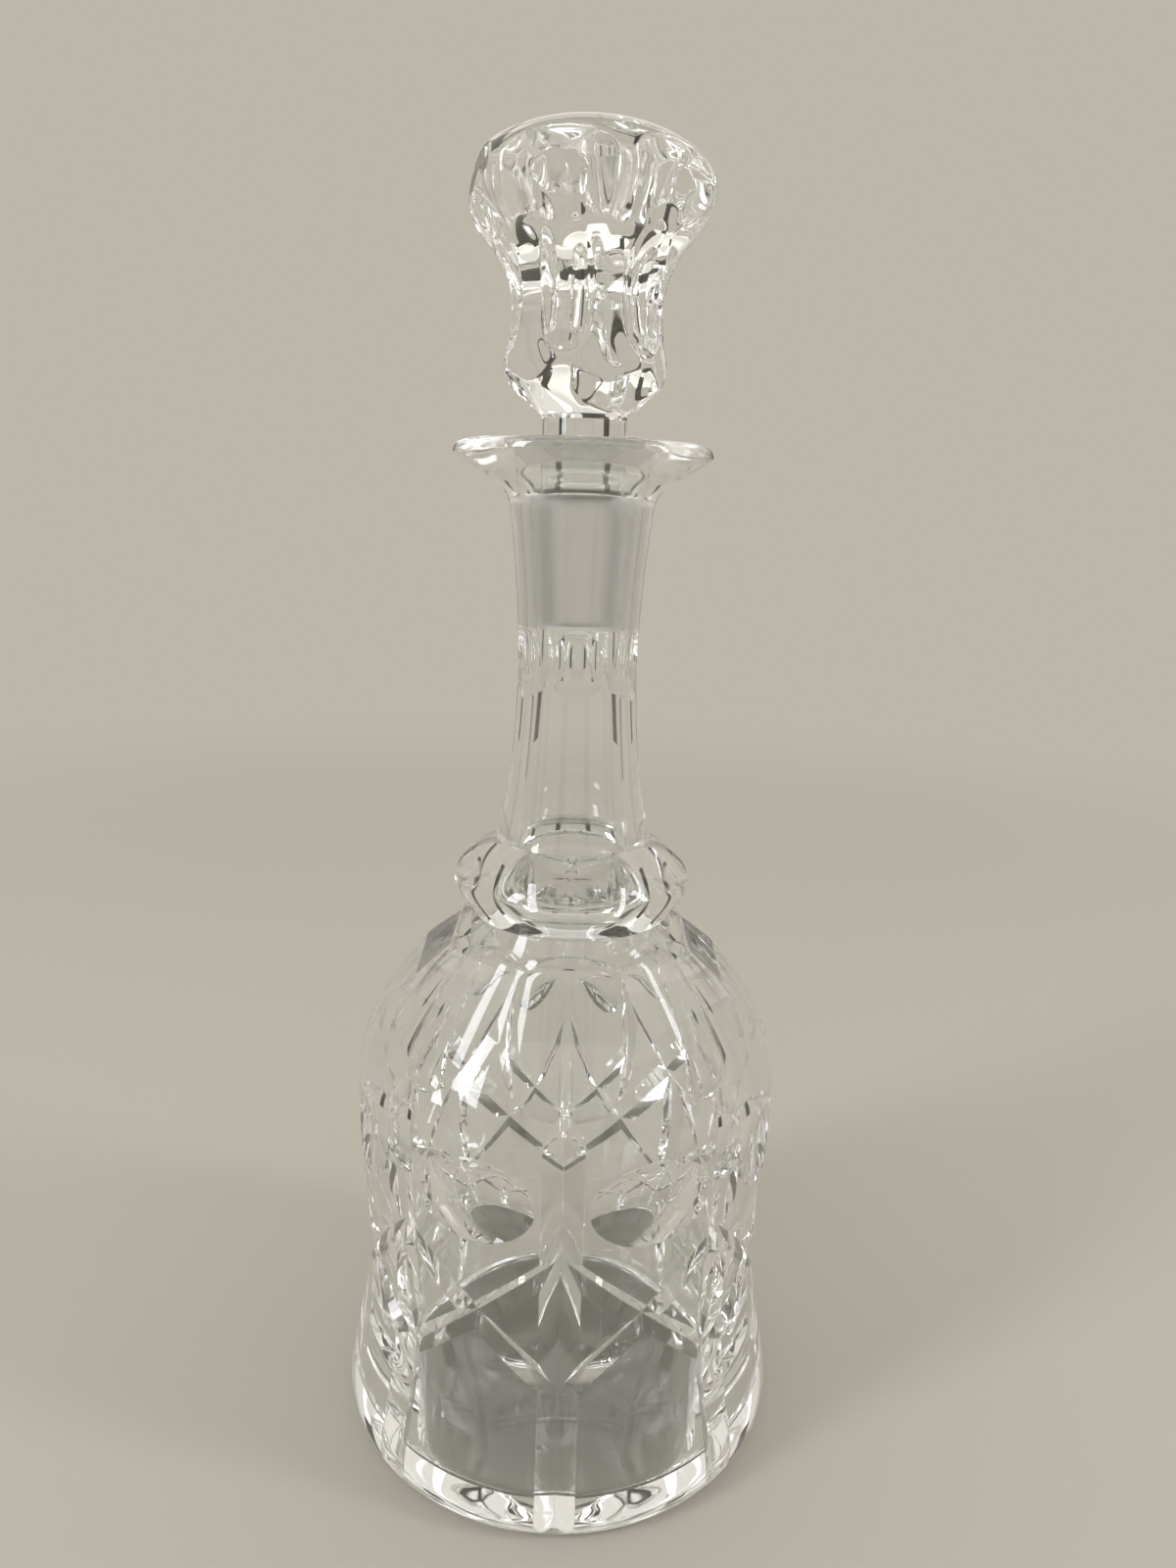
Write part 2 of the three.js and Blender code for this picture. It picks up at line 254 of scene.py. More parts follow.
@dataclass(frozen=True)
class DishWheel:
    """A shallow oval cut: its pole lies depth below the surface and two radii bend it."""

    depth: float
    across_radius: float
    along_radius: float
    half_width: float
    half_length: float
    lid: float = 3.0
    rings: int = 22
    steps: int = 80

    def shape(self) -> Shape:
        """Builds the cutter.

        Returns:
            The closed cutter, with X across, Y outwards and Z down the surface.
        """
        spoke = [(i / self.rings, 0, 0) for i in range(self.rings + 1)]
        dish = spun_round(spoke, (0, 1, 0), self.steps, MERGE_DISH)
        bmesh.ops.scale(dish, vec=(self.half_width, 1, self.half_length), verts=dish.verts)
        for corner in dish.verts:
            x, _, z = corner.co
            bow = x * x / (2 * self.across_radius) + z * z / (2 * self.along_radius)
            corner.co.y = bow - self.depth
        rim = [edge for edge in dish.edges if edge.is_boundary]
        grown = bmesh.ops.extrude_edge_only(dish, edges=rim)["geom"]
        for corner in grown:
            if isinstance(corner, Corner):
                corner.co.y = self.lid
        top = [edge for edge in grown if isinstance(edge, bmesh.types.BMEdge)]
        bmesh.ops.contextual_create(dish, geom=top)
        clean(dish, MERGE_DISH)
        return dish


@dataclass(frozen=True)
class PanelWheel:
    """A broad flat wheel: straight across, it leaves an upright panel on a bulging surface."""

    depth: float
    run_out: float
    half_width: float
    lift: float = 3.0
    foot_power: float = 0.65
    stops: int = 44

    def led(self, line: TurnedLine, angle: float, foot: float, top: float) -> Shape:
        """Leads the wheel along the surface's line.

        Args:
            line: the surface's line.
            angle: angle of the panel's middle from the front.
            foot: height where it starts, steeply.
            top: height where it has run out.

        Returns:
            The closed cutter in place.
        """
        under, over = [], []
        for i in range(self.stops + 1):
            share = (1 - math.cos(math.pi * i / self.stops)) / 2
            height = foot + (top - foot) * share
            spot = line.at(height)
            left = max(0.0, 1 - (top - height) / self.run_out)
            sink = self.depth * (1 - (1 - share) ** 3) ** self.foot_power * (1 - left**3)
            under.append(round_axis(spot.radius - spot.out * sink, 0, height - spot.up * sink))
            over.append(
                round_axis(spot.radius + spot.out * self.lift, 0, height + spot.up * self.lift)
            )
        cutter = bmesh.new()
        side = cutter.faces.new([cutter.verts.new(corner) for corner in (*under, *reversed(over))])
        bmesh.ops.translate(cutter, vec=(-self.half_width, 0, 0), verts=cutter.verts)
        grown = bmesh.ops.extrude_face_region(cutter, geom=[side], use_keep_orig=True)["geom"]
        fresh = [v for v in grown if isinstance(v, Corner)]
        bmesh.ops.translate(cutter, vec=(2 * self.half_width, 0, 0), verts=fresh)
        bmesh.ops.recalc_face_normals(cutter, faces=cutter.faces)
        bmesh.ops.rotate(cutter, matrix=Matrix.Rotation(angle, 3, "Z"), verts=cutter.verts)
        return cutter


@dataclass(frozen=True)
class MitreWheel:
    """A V-edged wheel that is led along the surface."""

    half_width: float
    depth: float
    lift: float = 2.5

    def led(self, line: TurnedLine, route: list[Triple]) -> Shape:
        """Sweeps the V along a route.

        Args:
            line: the surface's line.
            route: (angle, height, share of the full depth) of each stop.

        Returns:
            The closed cutter in place.
        """
        spots = []
        for angle, height, share in route:
            spot = line.at(height)
            centre = round_axis(spot.radius, angle, height)
            spots.append((centre, round_axis(spot.out, angle, spot.up), self.depth * share))
        cutter = bmesh.new()
        ring: list[Corner] = []
        for i, (centre, outward, sink) in enumerate(spots):
            along = spots[min(i + 1, len(spots) - 1)][0] - spots[max(i - 1, 0)][0]
            side = along.cross(outward).normalized()
            half = self.half_width * (sink + self.lift) / self.depth
            lip = centre + outward * self.lift
            corners = [centre - outward * sink, lip + side * half, lip - side * half]
            if not ring:
                ring = [cutter.verts.new(corner) for corner in corners]
                cutter.faces.new(ring)
                continue
            edges = [cutter.edges.get((ring[k], ring[(k + 1) % 3])) for k in range(3)]
            grown = bmesh.ops.extrude_edge_only(cutter, edges=edges)["geom"]
            fresh = [v for v in grown if isinstance(v, Corner)]
            ring = [self._follower(old, fresh) for old in ring]
            for corner, place in zip(ring, corners):
                corner.co = place
        cutter.faces.new(ring)
        bmesh.ops.recalc_face_normals(cutter, faces=cutter.faces)
        return cutter

    @staticmethod
    def _follower(old: Corner, fresh: list[Corner]) -> Corner:
        """Finds the new corner that was extruded from an old one."""
        return next(v for e in old.link_edges if (v := e.other_vert(old)) in fresh)


class Workshop:
    """Takes cuts out of a blank, one family of cuts after the other."""

    def __init__(self, blank: Shape) -> None:
        """Puts the blank, a closed solid in millimetres, on the bench; it is used up."""
        self.piece = self._on_bench(blank, Tool.BLANK)
        self.wheels: list[bpy.types.Object] = []

    @staticmethod
    def _on_bench(shape: Shape, tool: Tool) -> bpy.types.Object:
        """Makes a scene object whose faces carry the tool that they come from.

        Args:
            shape: the blank or the cutters. It is used up.
            tool: what leaves its faces.

        Returns:
            The object.
        """
        tag = shape.faces.layers.int.new(TAG)
        for face in shape.faces:
            face[tag] = tool.value
        return put_in_scene(shape, tool.name)

    def cut(self, tool: Tool, cutters: list[Shape]) -> None:
        """Sets up one family of cuts; neighbours may overlap, so they go in two batches.

        Args:
            tool: the kind of cut.
            cutters: closed cutters in place, used up here.
        """
        for batch in (cutters[::2], cutters[1::2]):
            joined = bmesh.new()
            for cutter in batch:
                spare = bpy.data.meshes.new("spare")
                cutter.to_mesh(spare)
                cutter.free()
                joined.from_mesh(spare)
                bpy.data.meshes.remove(spare)
            wheel = self._on_bench(joined, tool)
            step = self.piece.modifiers.new(tool.name, "BOOLEAN")
            step.operation = "DIFFERENCE"
            step.solver = "MANIFOLD"
            step.object = wheel
            self.wheels.append(wheel)

    def finished(self) -> Shape:
        """Carries out the cuts and clears the bench.

        Returns:
            The cut solid, in millimetres.
        """
        graph = bpy.context.evaluated_depsgraph_get()
        mesh = bpy.data.meshes.new_from_object(self.piece.evaluated_get(graph))
        solid = bmesh.new()
        solid.from_mesh(mesh)
        bpy.data.meshes.remove(mesh)
        for thing in (*self.wheels, self.piece):
            spare = thing.data
            bpy.data.objects.remove(thing)
            bpy.data.meshes.remove(spare)
        return solid


def mark_edges(solid: Shape, angle: float) -> None:
    """Keeps an edge crisp where two tools meet, or where one tool leaves a corner.

    Args:
        solid: the cut solid with its tool tags.
        angle: the smallest corner, in radians, that stays crisp within one cut.
    """
    tag = solid.faces.layers.int.get(TAG)
    for edge in solid.edges:
        pair = edge.link_faces
        crisp = len(pair) == 2 and (pair[0][tag] != pair[1][tag] or edge.calc_face_angle(0) > angle)
        edge.smooth = not crisp
    for face in solid.faces:
        face.smooth = True


def set_down(solid: Shape, name: str) -> bpy.types.Object:
    """Makes the finished piece, in metres, from the solid in millimetres, which is used up."""
    bmesh.ops.scale(solid, vec=(MM, MM, MM), verts=solid.verts)
    return put_in_scene(solid, name)


# ---- finishes


def linear(colour: str) -> tuple[float, float, float, float]:
    """Turns an sRGB hex colour into a linear one.

    Args:
        colour: the colour as "#rrggbb".

    Returns:
        Linear red, green, blue and alpha.
    """
    levels = [int(colour[i : i + 2], 16) / 255 for i in (1, 3, 5)]
    red, green, blue = (v / 12.92 if v <= 0.04045 else ((v + 0.055) / 1.055) ** 2.4 for v in levels)
    return red, green, blue, 1.0


def bare_tree(holder: bpy.types.Material | bpy.types.World) -> bpy.types.NodeTree:
    """Gives a material or a world an empty node tree.

    Args:
        holder: the material or world.

    Returns:
        Its node tree.
    """
    holder.use_nodes = True
    holder.node_tree.nodes.clear()
    return holder.node_tree


def add_node(
    tree: bpy.types.NodeTree, kind: str, settings: dict | None = None, links: dict | None = None
) -> bpy.types.Node:
    """Adds a node with its settings and links.

    Args:
        tree: the node tree.
        kind: the node's type name.
        settings: attributes by name, and sockets' values by "in:" and their name or number.
        links: what feeds each input, by the input's name or number. It is an output socket,
            or a node, which stands for its first output.

    Returns:
        The new node.
    """
    node = tree.nodes.new(kind)
    for key, value in (settings or {}).items():
        if key.startswith("in:"):
            name = key[3:]
            node.inputs[int(name) if name.isdigit() else name].default_value = value
        else:
            setattr(node, key, value)
    for key, source in (links or {}).items():
        socket = source.outputs[0] if isinstance(source, bpy.types.Node) else source
        tree.links.new(socket, node.inputs[int(key) if key.isdigit() else key])
    return node


@dataclass(frozen=True)
class PolishedCrystal:
    """Cut lead crystal, polished: clear and bright, with the small faults of hand work."""

    colour: str = "#fcfdfd"
    ior: float = 1.55
    ripple_mm: float = 16.0
    ripple_height_mm: float = 0.03
    edge_mm: float = 0.25
    smear_mm: float = 26.0
    smear_roughness: float = 0.05
    smear_span: Pair = (0.54, 0.76)
    ripple_left_on_cuts: float = 0.15

    def made(self) -> bpy.types.Material:
        """Builds the material.

        Returns:
            The material.
        """
        material = bpy.data.materials.new("polished_lead_crystal")
        add = partial(add_node, bare_tree(material))
        place = add("ShaderNodeTexCoord")
        # Fire-polished blown glass is faintly wavy, which bends what is seen through it.
        ripple = add(
            "ShaderNodeTexNoise",
            {"in:Scale": 1 / (self.ripple_mm * MM), "in:Detail": 1.0, "in:Roughness": 0.4},
            {"Vector": place.outputs["Object"]},
        )
        # Wheel-cut faces were ground flat, so the waves nearly stop at a cut's edge.
        cut = add("ShaderNodeAttribute", {"attribute_name": TAG})
        blown = add(
            "ShaderNodeMapRange",
            {"in:From Max": 0.5, "in:To Min": 1.0, "in:To Max": self.ripple_left_on_cuts},
            {"Value": cut.outputs["Fac"]},
        )
        # The polishing wheel rounds every cut edge a little, so each one catches a thin line
        # of light.
        edge = add("ShaderNodeBevel", {"samples": 4, "in:Radius": self.edge_mm * MM})
        bump = add(
            "ShaderNodeBump",
            {"in:Distance": self.ripple_height_mm * MM},
            {"Height": ripple, "Strength": blown, "Normal": edge},
        )
        # Handling leaves thin smears that dull the gloss in patches.
        drawn = add(
            "ShaderNodeMapping",
            {"in:Rotation": (0.5, 0.2, 0.4), "in:Scale": (1.0, 1.0, 2.6)},
            {"Vector": place.outputs["Object"]},
        )
        smear = add(
            "ShaderNodeTexNoise",
            {"in:Scale": 1 / (self.smear_mm * MM), "in:Detail": 6.0, "in:Roughness": 0.62},
            {"Vector": drawn},
        )
        start, end = self.smear_span
        gloss = add(
            "ShaderNodeMapRange",
            {"in:From Min": start, "in:From Max": end, "in:To Max": self.smear_roughness},
            {"Value": smear},
        )
        glass = add(
            "ShaderNodeBsdfPrincipled",
            {
                "in:Base Color": linear(self.colour),
                "in:IOR": self.ior,
                "in:Transmission Weight": 1.0,
            },
            {"Normal": bump, "Roughness": gloss},
        )
        add("ShaderNodeOutputMaterial", links={"Surface": glass})
        return material


@dataclass(frozen=True)
class GroundCrystal:
    """Lead crystal ground with grit for a tight joint: hazy, with faint level lines."""

    colour: str = "#ffffff"
    ior: float = 1.55
    roughness: float = 0.32
    roughness_spread: float = 0.04
    line_mm: float = 0.45
    line_height_mm: float = 0.012
    waves_per_metre: float = 30.0

    def made(self) -> bpy.types.Material:
        """Builds the material.

        Returns:
            The material.
        """
        material = bpy.data.materials.new("ground_lead_crystal")
        add = partial(add_node, bare_tree(material))
        place = add("ShaderNodeTexCoord")
        # Real grinding lines are finer, about 0.1 mm apart. These are drawn coarser, and
        # still show only faintly through the haze.
        across = self.waves_per_metre
        flat = add(
            "ShaderNodeMapping",
            {"in:Scale": (across, across, 1 / (self.line_mm * MM))},
            {"Vector": place.outputs["Object"]},
        )
        lines = add(
            "ShaderNodeTexNoise",
            {"in:Scale": 1.0, "in:Detail": 2.0, "in:Roughness": 0.6},
            {"Vector": flat},
        )
        bump = add(
            "ShaderNodeBump",
            {"in:Strength": 1.0, "in:Distance": self.line_height_mm * MM},
            {"Height": lines},
        )
        rough = add(
            "ShaderNodeMapRange",
            {
                "in:To Min": self.roughness - self.roughness_spread,
                "in:To Max": self.roughness + self.roughness_spread,
            },
            {"Value": lines},
        )
        # The grit's pits spread what is seen through the joint, so it looks milky, not clear.
        glass = add(
            "ShaderNodeBsdfPrincipled",
            {
                "in:Base Color": linear(self.colour),
                "in:IOR": self.ior,
                "in:Transmission Weight": 1.0,
            },
            {"Normal": bump, "Roughness": rough},
        )
        add("ShaderNodeOutputMaterial", links={"Surface": glass})
        return material


def dress(
    piece: bpy.types.Object,
    is_ground: Callable[[Vector], bool],
    finishes: Finishes,
) -> None:
    """Gives a piece its finishes, the ground one where the joint is.

    Args:
        piece: the finished piece.
        is_ground: tells from a face's centre, in metres, whether it is in the ground joint.
        finishes: one material for each kind of surface, in their order.
    """
    for finish in finishes:
        piece.data.materials.append(finish)
    for face in piece.data.polygons:
        kind = Surface.GROUND if is_ground(face.center) else Surface.POLISHED
        face.material_index = kind.value


# ---- the vessel


@dataclass
class DecanterBody:
    """The blown and cut vessel: bell body, fused ring collar, neck with a ground seat, and lip."""

    foot_radius: float = 47.2
    heel_radius: float = 52.4
    heel_height: float = 6.0
    waist_radius: float = 47.3
    waist_height: float = 44.0
    shoulder_radius: float = 49.4
    shoulder_height: float = 83.0
    body_height: float = 126.0
    body_wall: float = 7.0
    base_thickness: float = 4.0
    floor_corner: float = 1.8
    floor_spread: float = 0.9
    punt_radius: float = 12.0
    punt_depth: float = 1.4
    collar_root: float = 22.4
    collar_radius: float = 27.1
    collar_top: float = 143.4
    collar_bore: float = 13.2
    neck_root: float = 17.6
    neck_radius: float = 13.25
    neck_narrow: float = 183.6
    neck_top_radius: float = 15.4
    neck_top: float = 215.4
    seat_bottom_radius: float = 9.3
    seat_top_radius: float = 11.2
    seat_bottom: float = 191.0
    seat_top: float = 220.0
    seat_margin: float = 0.3
    lip_radius: float = 27.6
    lip_thickness: float = 2.4
    rim_height: float = 229.4
    steps: int = 200
    repeats: int = 8
    arch: PanelWheel = PanelWheel(depth=2.1, run_out=3.2, half_width=16.5)
    arch_foot: float = 97.3
    arch_top: float = 123.8
    column: MitreWheel = MitreWheel(half_width=4.7, depth=2.8)
    column_top: float = 98.5
    column_bottom: float = 2.0
    column_run_out: float = 5.0
    column_start_share: float = 0.35
    column_steps: int = 60
    roundel: DishWheel = DishWheel(
        depth=3.4, across_radius=65, along_radius=15.3, half_width=16.5, half_length=13.2
    )
    roundel_height: float = 78.5
    cross: MitreWheel = MitreWheel(half_width=2.7, depth=2.0)
    cross_height: float = 50.0
    cross_rise: float = 16.0
    cross_steps: int = 40
    neck_ovals: int = 6
    oval: DishWheel = DishWheel(
        depth=1.6,
        across_radius=47,
        along_radius=17,
        half_width=7.2,
        half_length=9,
        rings=14,
        steps=60,
    )
    crisp_degrees: float = 24.0

    def bell_line(self) -> TurnedLine:
        """Draws the outside of the bell.

        Returns:
            The line, from the heel to the collar's foot.
        """
        line = TurnedLine(self.heel_radius, self.heel_height)
        line.curve(
            (self.heel_radius, self.heel_height + 7),
            (self.waist_radius, self.waist_height - 17),
            (self.waist_radius, self.waist_height),
            steps=18,
        )
        line.curve(
            (self.waist_radius, self.waist_height + 15),
            (self.shoulder_radius, self.shoulder_height - 15),
            (self.shoulder_radius, self.shoulder_height),
            steps=16,
        )
        return line.curve(
            (self.shoulder_radius, self.shoulder_height + 22),
            (self.collar_root + 14, self.body_height - 9.7),
            (self.collar_root, self.body_height),
            steps=36,
        )

    def neck_line(self) -> TurnedLine:
        """Draws the outside of the neck.

        Returns:
            The line, from the collar to the start of the lip.
        """
        line = TurnedLine(self.neck_root, self.collar_top)
        line.curve(
            (self.neck_root - 2, self.collar_top + 7.4),
            (self.neck_radius, self.neck_narrow - 18),
            (self.neck_radius, self.neck_narrow),
            steps=18,
        )
        return line.curve(
            (self.neck_radius, self.neck_narrow + 13),
            (self.neck_top_radius - 0.8, self.neck_top - 8),
            (self.neck_top_radius, self.neck_top),
            steps=14,
        )

    def blank_line(self) -> TurnedLine:
        """Draws the whole blank, outside and inside.

        Returns:
            The line, from the middle of the underside round to the middle of the floor.
        """
        line = TurnedLine(0, self.punt_depth)
        line.bend((self.punt_radius / 2, self.punt_depth), (self.punt_radius, 0), steps=10)
        line.line(self.foot_radius, 0, steps=4)
        line.bend((self.heel_radius, 0), (self.heel_radius, self.heel_height), steps=14)
        line.points += self.bell_line().points[1:]
        line.curve(
            (self.collar_root + 1.2, self.body_height + 2.4),
            (self.collar_radius, self.body_height + 4.6),
            (self.collar_radius, self.body_height + 8),
            steps=14,
        )
        line.curve(
            (self.collar_radius, self.body_height + 11.4),
            (self.neck_root + 3.6, self.collar_top - 1.4),
            (self.neck_root, self.collar_top),
            steps=16,
        )
        line.points += self.neck_line().points[1:]
        line.curve(
            (self.neck_top_radius + 0.5, self.neck_top + 5.5),
            (self.lip_radius - 6.6, self.rim_height - self.lip_thickness - 4.6),
            (self.lip_radius, self.rim_height - self.lip_thickness),
            steps=20,
        )
        rim = self.lip_radius - self.lip_thickness
        line.bend((self.lip_radius, self.rim_height), (rim, self.rim_height), steps=10)
        line.curve(
            (rim - 5.7, self.rim_height - 1.1),
            (self.seat_top_radius + 1.6, self.rim_height - 4),
            (self.seat_top_radius, self.seat_top),
            steps=20,
        )
        line.line(self.seat_bottom_radius, self.seat_bottom, steps=8)
        line.curve(
            (self.seat_bottom_radius, self.seat_bottom - 12),
            (self.collar_bore - 2.4, self.collar_top + 15),
            (self.collar_bore, self.collar_top - 2.4),
            steps=16,
        )
        hollow = self.waist_radius - self.body_wall
        hollow_shoulder = self.shoulder_radius - self.body_wall
        line.curve(
            (self.collar_bore + 2.4, self.body_height - 1),
            (hollow_shoulder, self.shoulder_height + 22),
            (hollow_shoulder, self.shoulder_height),
            steps=36,
        )
        line.curve(
            (hollow_shoulder, self.shoulder_height - 15),
            (hollow, self.waist_height + 15),
            (hollow, self.waist_height),
            steps=14,
        )
        wide, corner = hollow + self.floor_spread, self.base_thickness + self.floor_corner
        line.curve((hollow, self.waist_height - 12), (wide, corner + 6), (wide, corner), steps=10)
        line.bend(
            (wide, self.base_thickness),
            (wide - self.floor_corner, self.base_thickness),
            steps=14,
        )
        return line.line(0, self.base_thickness, steps=6)

    def dishes(
        self, wheel: DishWheel, line: TurnedLine, count: int, height: float, turn: float
    ) -> list[Shape]:
        """Repeats one dish cut round the axis.

        Args:
            wheel: the cut's shape.
            line: the surface that it is cut in.
            count: how many there are.
            height: their height.
            turn: the first one's angle from the front.

        Returns:
            The cutters in place.
        """
        cutters = []
        for i in range(count):
            shape = wheel.shape()
            shape.transform(stand_on(line, math.tau * i / count + turn, height))
            cutters.append(shape)
        return cutters

    def columns(self) -> list[Shape]:
        """Leads a mitre down from each arch; it starts blunt and runs out through the heel.

        Returns:
            The cutters in place.
        """
        steps, start = self.column_steps, self.column_start_share
        cutters = []
        for i in range(self.repeats):
            route = []
            for k in range(steps + 1):
                height = self.column_top + (self.column_bottom - self.column_top) * k / steps
                led = min((self.column_top - height) / self.column_run_out, 1)
                share = start + (1 - start) * led
                route.append((math.tau * i / self.repeats, height, share))
            cutters.append(self.column.led(self.bell_line(), route))
        return cutters

    def crosses(self, way: int) -> list[Shape]:
        """Leads one diagonal mitre across each panel.

        Args:
            way: 1 for the one that falls towards +X, -1 for the one that rises.

        Returns:
            The cutters in place.
        """
        steps = self.cross_steps
        pitch = math.tau / self.repeats
        cutters = []
        for i in range(self.repeats):
            route = [
                (
                    pitch * (i + k / steps),
                    self.cross_height + way * self.cross_rise * (1 - 2 * k / steps),
                    1.0,
                )
                for k in range(steps + 1)
            ]
            cutters.append(self.cross.led(self.bell_line(), route))
        return cutters

    def build(self, finishes: Finishes) -> bpy.types.Object:
        """Turns, cuts and dresses the vessel.

        Args:
            finishes: the polished and the ground finish.

        Returns:
            The finished piece.
        """
        bell, neck = self.bell_line(), self.neck_line()
        shop = Workshop(self.blank_line().spun(self.steps))
        pitch = math.tau / self.repeats
        arches = [
            self.arch.led(bell, pitch * i, self.arch_foot, self.arch_top)
            for i in range(self.repeats)
        ]
        shop.cut(Tool.ARCH, arches)
        shop.cut(Tool.COLUMN, self.columns())
        half = math.pi / self.repeats
        roundels = self.dishes(self.roundel, bell, self.repeats, self.roundel_height, half)
        shop.cut(Tool.ROUNDEL, roundels)
        shop.cut(Tool.CROSS_DOWN, self.crosses(1))
        shop.cut(Tool.CROSS_UP, self.crosses(-1))
        shop.cut(Tool.OVAL, self.dishes(self.oval, neck, self.neck_ovals, self.neck_narrow, 0))
        solid = shop.finished()
        clean(solid, MERGE_CUT)
        mark_edges(solid, math.radians(self.crisp_degrees))
        piece = set_down(solid, "vessel")
        dress(piece, self.in_seat, finishes)
        return piece

    def in_seat(self, spot: Vector) -> bool:
        """Tells whether a spot, in metres, is on the ground seat in the neck."""
        height, over = spot.z / MM, math.hypot(spot.x, spot.y) / MM - self.seat_top_radius
        return self.seat_bottom < height < self.seat_top and over < self.seat_margin


# ---- the stopper


@dataclass(frozen=True)
class RoundWheel:
    """A cutting wheel with a round rim, held upright beside the stopper's head."""

    floor: float
    height: float
    radius: float
    rim: float
    halvings: int = 26
    near_hub: float = 1.0

    def reach(self, bearing: np.ndarray, height: np.ndarray) -> np.ndarray:
        """Finds how far out the glass reaches beside the wheel.

        Args:
            bearing: angle from the middle of the nearest cut.
            height: height over the head's base.

        Returns:
            The radius of the cut surface, large where the wheel doesn't reach.
        """
        hub = self.floor + self.radius
        ring = self.radius - self.rim
        low, high = np.zeros_like(height), np.full_like(height, hub)
        for _ in range(self.halvings):
            middle = (low + high) / 2
            side = middle * np.sin(bearing)
            far = np.hypot(middle * np.cos(bearing) - hub, height - self.height)
            edge = ring + np.sqrt(np.maximum(self.rim**2 - side**2, 0))
            glass = (far > edge) | (np.abs(side) > self.rim)
            low, high = np.where(glass, middle, low), np.where(glass, high, middle)
        return np.where(low > hub - self.near_hub, CLEAR, low)


